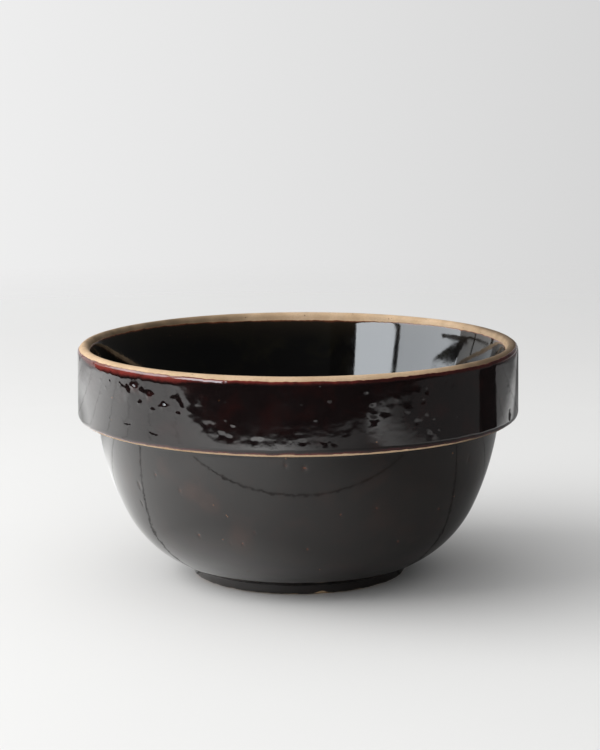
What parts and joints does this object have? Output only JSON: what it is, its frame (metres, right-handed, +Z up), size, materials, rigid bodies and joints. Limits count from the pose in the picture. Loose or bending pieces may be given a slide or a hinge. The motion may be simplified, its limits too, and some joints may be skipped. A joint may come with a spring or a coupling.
{
  "type": "collared stoneware bowl",
  "caption": "Round stoneware bowl with a deep collar under a bare clay rim, a dark brown glaze inside and out, and a low foot ring.",
  "frame": {"origin": "centre of the foot ring's underside, where the bowl stands on a table", "axes": "+Z up along the bowl's axis of symmetry; the bowl is round, so +X and +Y are free"},
  "size_m": [0.2032, 0.2032, 0.1074],
  "materials": {
    "bare_clay": "bare fired stoneware, warm tan",
    "inner_glaze": "high gloss, near black brown",
    "collar_glaze": "high gloss, dark oxblood brown, pitted and blistered",
    "belly_glaze": "smooth gloss, dark brown with fine tan specks"
  },
  "bodies": {
    "root": {"stoneware_body": "bare_clay", "inner_glaze": "inner_glaze", "collar_glaze": "collar_glaze", "belly_glaze": "belly_glaze"}
  },
  "joints": []
}
